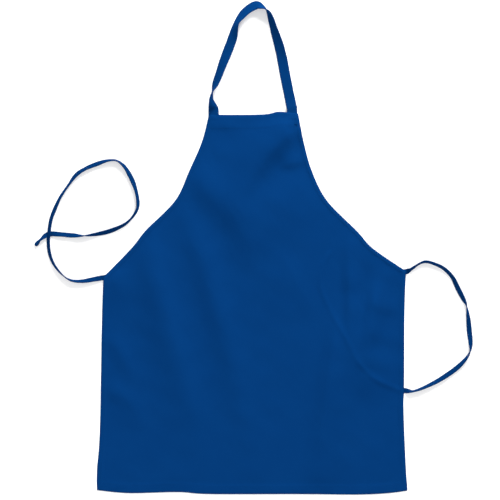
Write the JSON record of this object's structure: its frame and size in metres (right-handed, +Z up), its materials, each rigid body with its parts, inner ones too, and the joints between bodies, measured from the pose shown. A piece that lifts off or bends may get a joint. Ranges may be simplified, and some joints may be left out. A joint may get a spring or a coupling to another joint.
{
  "type": "welding apron",
  "caption": "Flat-laid cloth bib apron with turned hems, a sewn neck strap loop and narrow waist ties, for welding and metal work.",
  "frame": {"origin": "on the surface the apron lies on, under the middle of the apron with its neck strap", "axes": "+Y towards the neck strap, +Z up out of the apron's face, +X to the right as seen from above"},
  "size_m": [0.8873, 0.9971, 0.0211],
  "materials": {
    "cloth": "cobalt blue plain-woven cotton cloth, matt with a faint sheen",
    "hem_cloth": "the same cobalt blue cloth, its turned hems",
    "tape": "cobalt blue folded cloth tape",
    "thread": "matching cobalt blue sewing thread"
  },
  "bodies": {
    "apron": {"body_panel": "cloth", "top_hem": "hem_cloth", "bottom_hem": "hem_cloth", "side_hem_left": "hem_cloth", "side_hem_right": "hem_cloth", "armhole_hem_left": "hem_cloth", "armhole_hem_right": "hem_cloth", "top_hem_stitching": "thread", "bottom_hem_stitching": "thread", "side_hem_stitching_left": "thread", "side_hem_stitching_right": "thread", "armhole_hem_stitching_left": "thread", "armhole_hem_stitching_right": "thread", "neck_strap_end_left": "tape", "neck_strap_end_right": "tape", "neck_strap_tack_left": "thread", "neck_strap_tack_right": "thread", "waist_tie_end_left": "tape", "waist_tie_end_right": "tape", "waist_tie_tack_left": "thread", "waist_tie_tack_right": "thread", "waist_tie_right_tail": "tape"},
    "neck_loop": {"neck_strap": "tape"},
    "left_tie": {"waist_tie_left": "tape"},
    "right_tie": {"waist_tie_right": "tape"}
  },
  "joints": [
    {"name": "neck_strap_fold", "type": "hinge", "parent": "apron", "child": "neck_loop", "pos_m": [0.001, 0.2755, 0.0035], "axis": [1, 0, 0], "range_deg": [0, 130]},
    {"name": "left_tie_fold", "type": "hinge", "parent": "apron", "child": "left_tie", "pos_m": [-0.302, -0.0605, 0.0035], "axis": [0.5501, 0.8351, 0], "range_deg": [0, 140]},
    {"name": "right_tie_fold", "type": "hinge", "parent": "apron", "child": "right_tie", "pos_m": [0.3115, -0.048, 0.0035], "axis": [-0.0166, -0.9999, 0], "range_deg": [0, 140]}
  ]
}
